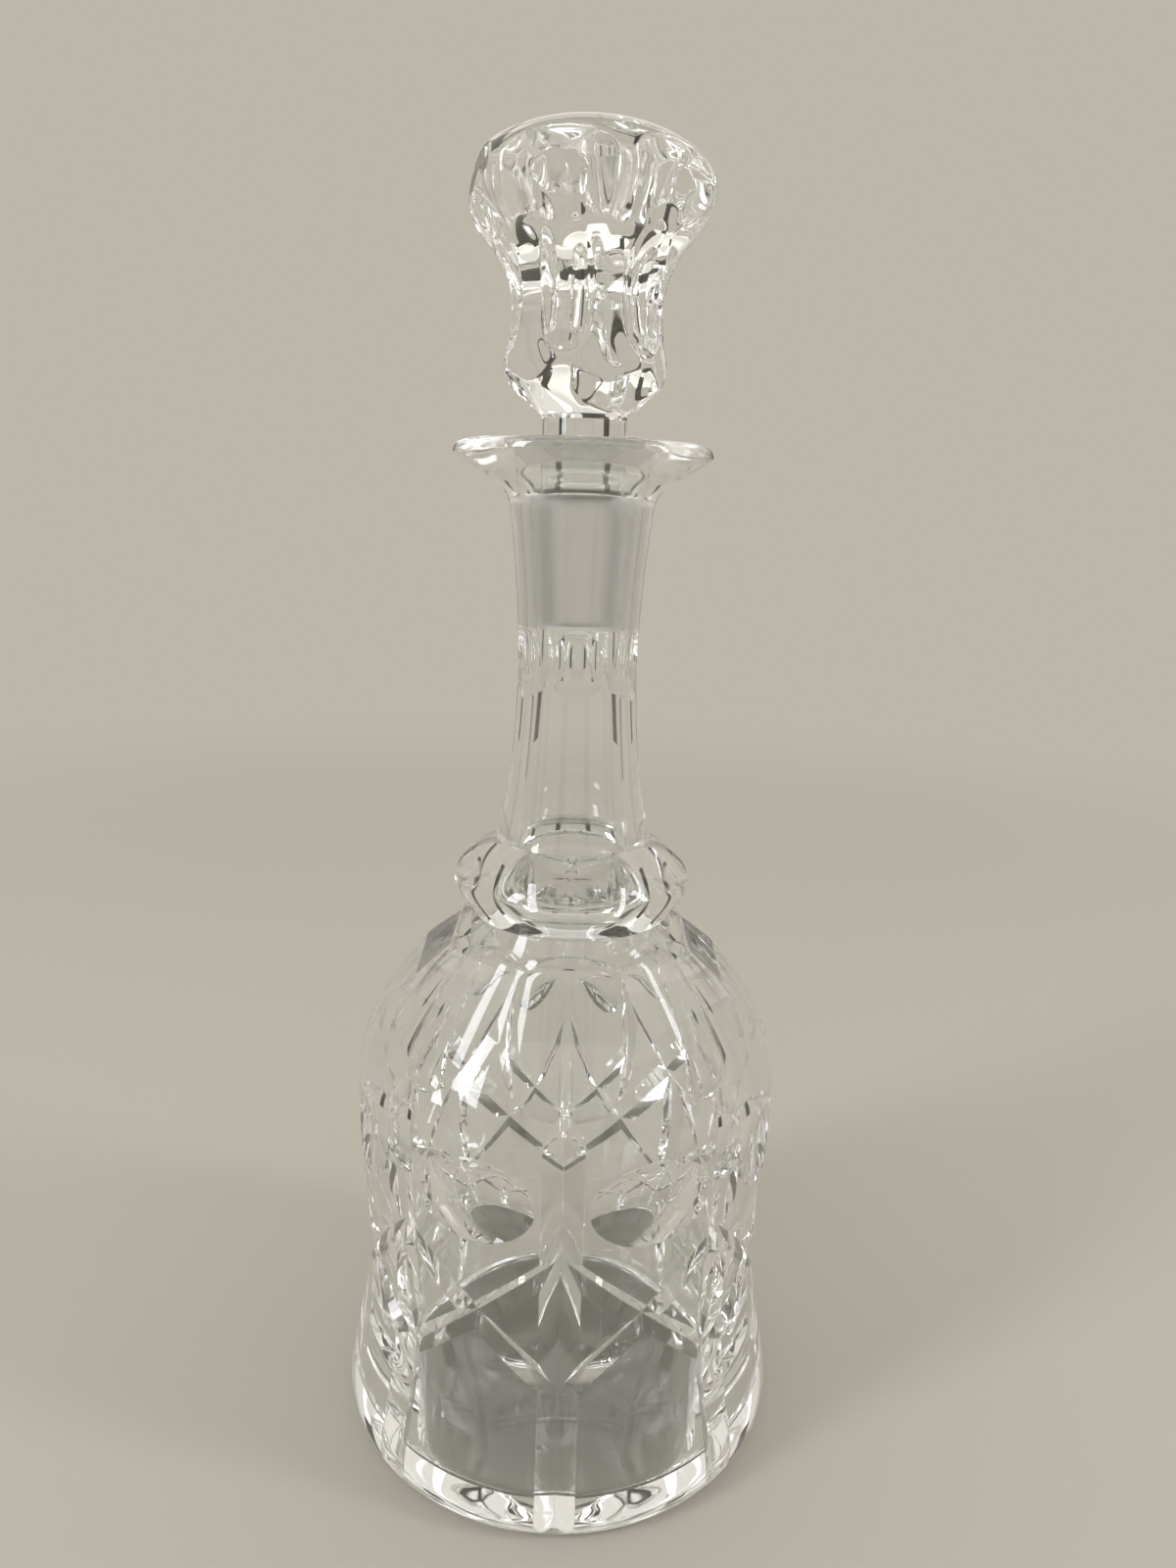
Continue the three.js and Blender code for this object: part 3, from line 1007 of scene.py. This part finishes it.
@dataclass
class Stopper:
    """The solid stopper: ground plug, plain shank and a mushroom head cut with six flutes."""

    seat_bottom: float = 191.0
    plug_bottom_radius: float = 9.0
    plug_top_radius: float = 10.9
    plug_chamfer: float = 0.9
    seat_length: float = 29.0
    shank_radius: float = 9.0
    head_base: float = 44.0
    skirt_radius: float = 17.3
    skirt_height: float = 10.8
    skirt_edge_radius: float = 16.5
    skirt_edge_height: float = 6.0
    head_neck_radius: float = 15.7
    head_neck_height: float = 20.5
    cap_radius: float = 25.7
    cap_height: float = 43.0
    head_height: float = 55.2
    flutes: int = 6
    turn_degrees: float = -15.0
    flute_rim: float = 7.5
    flute_heights: tuple[float, ...] = (9.4, 10.4, 12.0, 15.0, 21.0, 26.0, 30.0, 34.0, 38.0, 41.0)
    flute_depths: tuple[float, ...] = (-0.6, 0.5, 1.5, 2.5, 3.1, 2.5, 1.8, 1.0, 0.3, -0.6)
    dish: RoundWheel = RoundWheel(floor=17.7, height=29.8, radius=24.0, rim=7.0)
    point_radius: float = 16.1
    point_reach: float = 9.0
    under_cut_radius: float = 9.3
    under_cut_degrees: float = 47.0
    rib_degrees: float = 3.7
    facet_start: float = 20.0
    facet_clear: float = 1.02
    facet_full: float = 33.0
    facet_lean: float = 0.12
    softness: float = 0.5
    crisp_degrees: float = 28.0
    steps: int = 360

    def blank_line(self) -> TurnedLine:
        """Draws the blank.

        Returns:
            The line, from the plug's end at height 0 to the top of the head.
        """
        base = self.head_base
        line = TurnedLine(0, 0)
        line.line(self.plug_bottom_radius - self.plug_chamfer, 0, steps=4)
        line.line(self.plug_bottom_radius, self.plug_chamfer, steps=3)
        line.line(self.plug_top_radius, self.seat_length, steps=14)
        line.line(self.shank_radius, self.seat_length + self.plug_chamfer, steps=3)
        line.line(self.shank_radius, base, steps=10)
        line.line(self.skirt_edge_radius, base + self.skirt_edge_height, steps=18)
        line.bend(
            (self.skirt_radius, base + self.skirt_edge_height),
            (self.skirt_radius, base + self.skirt_height),
            steps=12,
        )
        line.curve(
            (self.skirt_radius - 0.6, base + self.skirt_height + 2.4),
            (self.head_neck_radius, base + self.head_neck_height - 5),
            (self.head_neck_radius, base + self.head_neck_height),
            steps=22,
        )
        line.curve(
            (self.head_neck_radius, base + self.head_neck_height + 13),
            (self.cap_radius, base + self.cap_height - 10),
            (self.cap_radius, base + self.cap_height),
            steps=60,
        )
        return line.curve(
            (self.cap_radius, base + self.cap_height + 6.5),
            (self.cap_radius * 0.58, base + self.head_height),
            (0, base + self.head_height),
            steps=50,
        )

    def cap_facet(self, radius: np.ndarray, height: np.ndarray) -> np.ndarray:
        """Finds how far out the middle of a cap facet lies; narrow ribs stay between facets.

        Args:
            radius: radius of the blank.
            height: height over the plug's end.

        Returns:
            The distance of the facet's middle from the axis.
        """
        over = height - self.head_base
        full = math.cos(math.pi / self.flutes - math.radians(self.rib_degrees))
        start = np.interp(over, (self.facet_start, self.facet_full), (self.facet_clear, full))
        upper = self.cap_radius * full - self.facet_lean * (over - self.cap_height)
        return np.where(over < self.cap_height, radius * start, upper)

    def flute_reach(self, bearing: np.ndarray, facet: np.ndarray, over: np.ndarray) -> np.ndarray:
        """Finds how far out the glass reaches under a flute that fades out towards the cap.

        Args:
            bearing: angle from the middle of the nearest flute.
            facet: distance of the uncut surface from the axis in the flute's middle.
            over: height over the head's base.

        Returns:
            The radius of the cut surface, large where the flute doesn't reach.
        """
        sink = np.interp(over, self.flute_heights, self.flute_depths)
        hub = facet - sink + self.flute_rim
        side = hub * np.sin(bearing)
        reach = hub * np.cos(bearing) - np.sqrt(np.maximum(self.flute_rim**2 - side**2, 0))
        return np.where((np.abs(side) < self.flute_rim) & (sink > -self.softness), reach, CLEAR)

    def carve(self, solid: Shape) -> None:
        """Cuts the head: every corner moves in to the lowest cut, with softly polished edges.

        Args:
            solid: the spun blank, with the plug's end at height 0.
        """
        corners = [v for v in solid.verts if v.co.z > self.head_base]
        x, y, z = np.array([v.co for v in corners]).T
        radius = np.hypot(x, y)
        pitch = math.tau / self.flutes
        bearing = np.arctan2(x, -y) - math.radians(self.turn_degrees)
        to_flute = (bearing + pitch / 2) % pitch - pitch / 2
        to_rib = bearing % pitch - pitch / 2
        rise = (z - self.head_base) / math.tan(math.radians(self.under_cut_degrees))
        facet = self.cap_facet(radius, z)
        by_skirt = z < self.head_base + self.skirt_height + self.point_reach
        reach = radius
        for cut in (
            facet / np.cos(to_flute),
            self.flute_reach(to_flute, facet, z - self.head_base),
            self.dish.reach(to_flute, z - self.head_base),
            (self.under_cut_radius + rise) / np.cos(to_flute),
            np.where(by_skirt, self.point_radius / np.cos(to_rib), CLEAR),
        ):
            reach = self.soft_least(reach, cut)
        scale = np.where(radius > ON_AXIS, reach / np.maximum(radius, ON_AXIS), 1.0)
        for corner, share in zip(corners, scale):
            corner.co.x *= share
            corner.co.y *= share

    def soft_least(self, first: np.ndarray, second: np.ndarray) -> np.ndarray:
        """Takes the smaller of two radii, rounded off where they meet."""
        near = np.maximum(self.softness - np.abs(first - second), 0) / self.softness
        return np.minimum(first, second) - near * near * self.softness / 4

    def build(self, finishes: Finishes) -> bpy.types.Object:
        """Turns, cuts and dresses the stopper, seated in the neck.

        Args:
            finishes: the polished and the ground finish.

        Returns:
            The finished piece.
        """
        solid = self.blank_line().spun(self.steps)
        self.carve(solid)
        bmesh.ops.recalc_face_normals(solid, faces=solid.faces)
        bmesh.ops.translate(solid, vec=(0, 0, self.seat_bottom), verts=solid.verts)
        for face in solid.faces:
            face.smooth = True
        for edge in solid.edges:
            edge.smooth = edge.calc_face_angle(0) < math.radians(self.crisp_degrees)
        piece = set_down(solid, "ground_stopper")
        dress(piece, self.on_plug, finishes)
        return piece

    def on_plug(self, spot: Vector) -> bool:
        """Tells whether a spot, in metres, is on the ground plug."""
        height = spot.z / MM - self.seat_bottom
        return self.plug_chamfer / 2 < height < self.seat_length


# ---- studio and camera


@dataclass(frozen=True)
class SoftBox:
    """A large soft lamp, seen only by its light and its gleam on the glass."""

    name: str
    place: Triple
    width: float
    height: float
    watts: float
    colour: str = "#fffaf2"
    aim_height: float = 0.15

    def hang(self) -> None:
        """Hangs the lamp, turned towards the middle of the decanter."""
        lamp = bpy.data.lights.new(self.name, "AREA")
        lamp.shape = "RECTANGLE"
        lamp.size, lamp.size_y = self.width, self.height
        lamp.energy = self.watts
        lamp.color = linear(self.colour)[:3]
        stand = bpy.data.objects.new(self.name, lamp)
        stand.location = self.place
        to_middle = Vector((0, 0, self.aim_height)) - Vector(self.place)
        stand.rotation_euler = to_middle.to_track_quat("-Z", "Y").to_euler()
        stand.visible_camera = False
        bpy.context.scene.collection.objects.link(stand)


@dataclass(frozen=True)
class Studio:
    """A plain pale floor and backdrop, a ring of soft lamps, a dark ceiling and dark cards.

    The camera sees none of the last three directly: they leave bright and dark lines in
    the glass, mostly in its cuts.
    """

    wall: str = "#bdb7aa"
    floor: str = "#bdb7aa"
    ceiling: str = "#46433d"
    card: str = "#3b3833"
    wall_top: float = 0.48
    wall_blend: float = 0.06
    fill: float = 0.46
    floor_radius: float = 3.0
    floor_drop: float = 0.0003
    fade_span: Pair = (0.4, 1.0)
    ring: int = 8
    ring_radius: float = 1.2
    ring_height: float = 1.22
    ring_watts: float = 1.7
    ring_box: Pair = (1.1, 0.65)
    cards: int = 8
    card_radius: float = 0.9
    card_width: float = 0.11
    card_height: float = 0.8
    lamps: tuple[SoftBox, ...] = (
        SoftBox(
            "window_left", (-1.15, -0.75, 0.75), width=0.3, height=0.9, watts=9, colour="#f8faff"
        ),
        SoftBox(
            "window_right", (1.2, -0.35, 0.75), width=0.22, height=0.8, watts=5, colour="#f8faff"
        ),
    )

    def lay_floor(self) -> None:
        """Lays the floor just under the foot."""
        sheet = bmesh.new()
        bmesh.ops.create_circle(sheet, cap_ends=True, segments=96, radius=self.floor_radius)
        floor = put_in_scene(sheet, "studio_floor")
        floor.location.z = -self.floor_drop
        floor.data.materials.append(self.board())

    def board(self) -> bpy.types.Material:
        """Makes the matt board, which glows in the backdrop's colour far from the object.

        Returns:
            The material.
        """
        material = bpy.data.materials.new("matt_pale_board")
        add = partial(add_node, bare_tree(material))
        matt = {"in:Base Color": linear(self.floor), "in:Roughness": 0.75}
        near = add("ShaderNodeBsdfPrincipled", matt)
        far = add("ShaderNodeEmission", {"in:Color": linear(self.wall)})
        place = add("ShaderNodeTexCoord")
        away = add("ShaderNodeVectorMath", {"operation": "LENGTH"}, {"0": place.outputs["Object"]})
        start, end = self.fade_span
        fade = add(
            "ShaderNodeMapRange",
            {"interpolation_type": "SMOOTHSTEP", "in:From Min": start, "in:From Max": end},
            {"Value": away.outputs["Value"]},
        )
        mix = add("ShaderNodeMixShader", links={"0": fade, "1": near, "2": far})
        add("ShaderNodeOutputMaterial", links={"Surface": mix})
        return material

    def light_world(self) -> None:
        """Paints the backdrop all round, with a dark ceiling that shows only in the glass."""
        world = bpy.data.worlds.new("studio_backdrop")
        bpy.context.scene.world = world
        add = partial(add_node, bare_tree(world))
        way = add("ShaderNodeTexCoord")
        parts = add("ShaderNodeSeparateXYZ", links={"Vector": way.outputs["Generated"]})
        path = add("ShaderNodeLightPath")
        # The camera sees the wall at every height; other rays meet the ceiling above it.
        one_minus = {"operation": "SUBTRACT", "in:0": 1.0}
        unseen = add("ShaderNodeMath", one_minus, {"1": path.outputs["Is Camera Ray"]})
        links = {"0": parts.outputs["Z"], "1": unseen}
        rise = add("ShaderNodeMath", {"operation": "MULTIPLY"}, links)
        ramp = add("ShaderNodeValToRGB", links={"Fac": rise})
        wall, ceiling = ramp.color_ramp.elements
        wall.position, wall.color = self.wall_top, linear(self.wall)
        ceiling.position, ceiling.color = self.wall_top + self.wall_blend, linear(self.ceiling)
        shown = add("ShaderNodeBackground", {"in:Strength": 1.0}, {"Color": ramp})
        white = {"in:Color": (1.0, 1.0, 1.0, 1.0), "in:Strength": self.fill}
        light = add("ShaderNodeBackground", white)
        # Light that reaches the floor through the glass is the fill, as it is beside the glass.
        seen = path.outputs["Is Camera Ray"]
        for operation, ray in (
            ("ADD", "Is Glossy Ray"),
            ("ADD", "Is Transmission Ray"),
            ("SUBTRACT", "Diffuse Depth"),
        ):
            settings = {"operation": operation, "use_clamp": True}
            links = {"0": seen, "1": path.outputs[ray]}
            seen = add("ShaderNodeMath", settings, links)
        mix = add("ShaderNodeMixShader", links={"0": seen, "1": light, "2": shown})
        add("ShaderNodeOutputWorld", links={"Surface": mix})

    def stand_cards(self) -> None:
        """Stands the dark cards round the object, between the main directions of view."""
        # Felt gives next to no gleam, so a card shows in the glass as a plain dark line.
        felt = bpy.data.materials.new("black_felt")
        felt.use_nodes = True
        shader = felt.node_tree.nodes["Principled BSDF"]
        shader.inputs["Base Color"].default_value = linear(self.card)
        shader.inputs["Roughness"].default_value = 1.0
        for i in range(self.cards):
            angle = math.tau * (i + 0.5) / self.cards
            sheet = bmesh.new()
            bmesh.ops.create_grid(sheet, size=0.5)
            shape = Matrix.Diagonal((self.card_width, self.card_height, 1))
            shape = Matrix.Rotation(angle, 3, "Z") @ Matrix.Rotation(math.pi / 2, 3, "X") @ shape
            bmesh.ops.transform(sheet, matrix=shape, verts=sheet.verts)
            card = put_in_scene(sheet, f"dark_card_{i}")
            card.data.materials.append(felt)
            card.location = round_axis(self.card_radius, angle, self.card_height / 2)
            card.visible_camera = card.visible_shadow = card.visible_diffuse = False

    def build(self) -> None:
        """Sets up floor, backdrop, lamps and how light is followed through the glass."""
        self.lay_floor()
        self.stand_cards()
        self.light_world()
        for i in range(self.ring):
            place = round_axis(self.ring_radius, math.tau * i / self.ring, self.ring_height)
            SoftBox(f"ring_{i}", tuple(place), *self.ring_box, self.ring_watts).hang()
        for lamp in self.lamps:
            lamp.hang()
        scene = bpy.context.scene
        scene.view_settings.view_transform = "Standard"
        scene.cycles.max_bounces = BOUNCES
        scene.cycles.transmission_bounces = BOUNCES
        scene.cycles.glossy_bounces = BOUNCES


@dataclass(frozen=True)
class PhotographCamera:
    """The camera at the photograph's place and viewing angle."""

    place_mm: Triple = (0.0, -243.7, 213.5)
    down_degrees: float = 13.405
    roll_degrees: float = 1.763
    yaw_degrees: float = 0.733
    focal_pixels: float = 1122.0
    long_side_pixels: float = 1600.0
    film_mm: float = 36.0
    clip_start: float = 0.01

    def build(self) -> bpy.types.Object:
        """Makes the scene's camera.

        Returns:
            The camera.
        """
        down, roll, yaw = (
            math.radians(a) for a in (self.down_degrees, self.roll_degrees, self.yaw_degrees)
        )
        forward = Vector(
            (math.sin(yaw) * math.cos(down), math.cos(yaw) * math.cos(down), -math.sin(down))
        )
        right = Vector((math.cos(yaw), -math.sin(yaw), 0))
        up = right.cross(forward)
        side = right * math.cos(roll) + up * math.sin(roll)
        top = up * math.cos(roll) - right * math.sin(roll)
        data = bpy.data.cameras.new("photograph_camera")
        data.sensor_width = self.film_mm
        data.lens = self.focal_pixels / self.long_side_pixels * data.sensor_width
        data.clip_start = self.clip_start
        camera = bpy.data.objects.new("photograph_camera", data)
        camera.matrix_world = Matrix.Translation(Vector(self.place_mm) * MM) @ (
            Matrix((side, top, -forward)).transposed().to_4x4()
        )
        bpy.context.scene.collection.objects.link(camera)
        bpy.context.scene.camera = camera
        return camera


# ---- assembly


def main() -> None:
    """Builds the camera, the studio and the two glass pieces, and logs each piece."""
    logging.basicConfig(level=logging.INFO, format="%(name)s: %(message)s")
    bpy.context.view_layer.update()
    PhotographCamera().build()
    Studio().build()
    finishes = (PolishedCrystal().made(), GroundCrystal().made())
    for maker, node, body, slot in (
        (DecanterBody(), "decanter_body", "decanter", "crystal"),
        (Stopper(), "stopper", "stopper", "stopper_crystal"),
    ):
        piece = maker.build(finishes)
        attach(piece, body)
        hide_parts(node)
        piece.data.calc_loop_triangles()
        log.info("%s: %d triangles", piece.name, len(piece.data.loop_triangles))


if __name__ == "__main__":
    main()
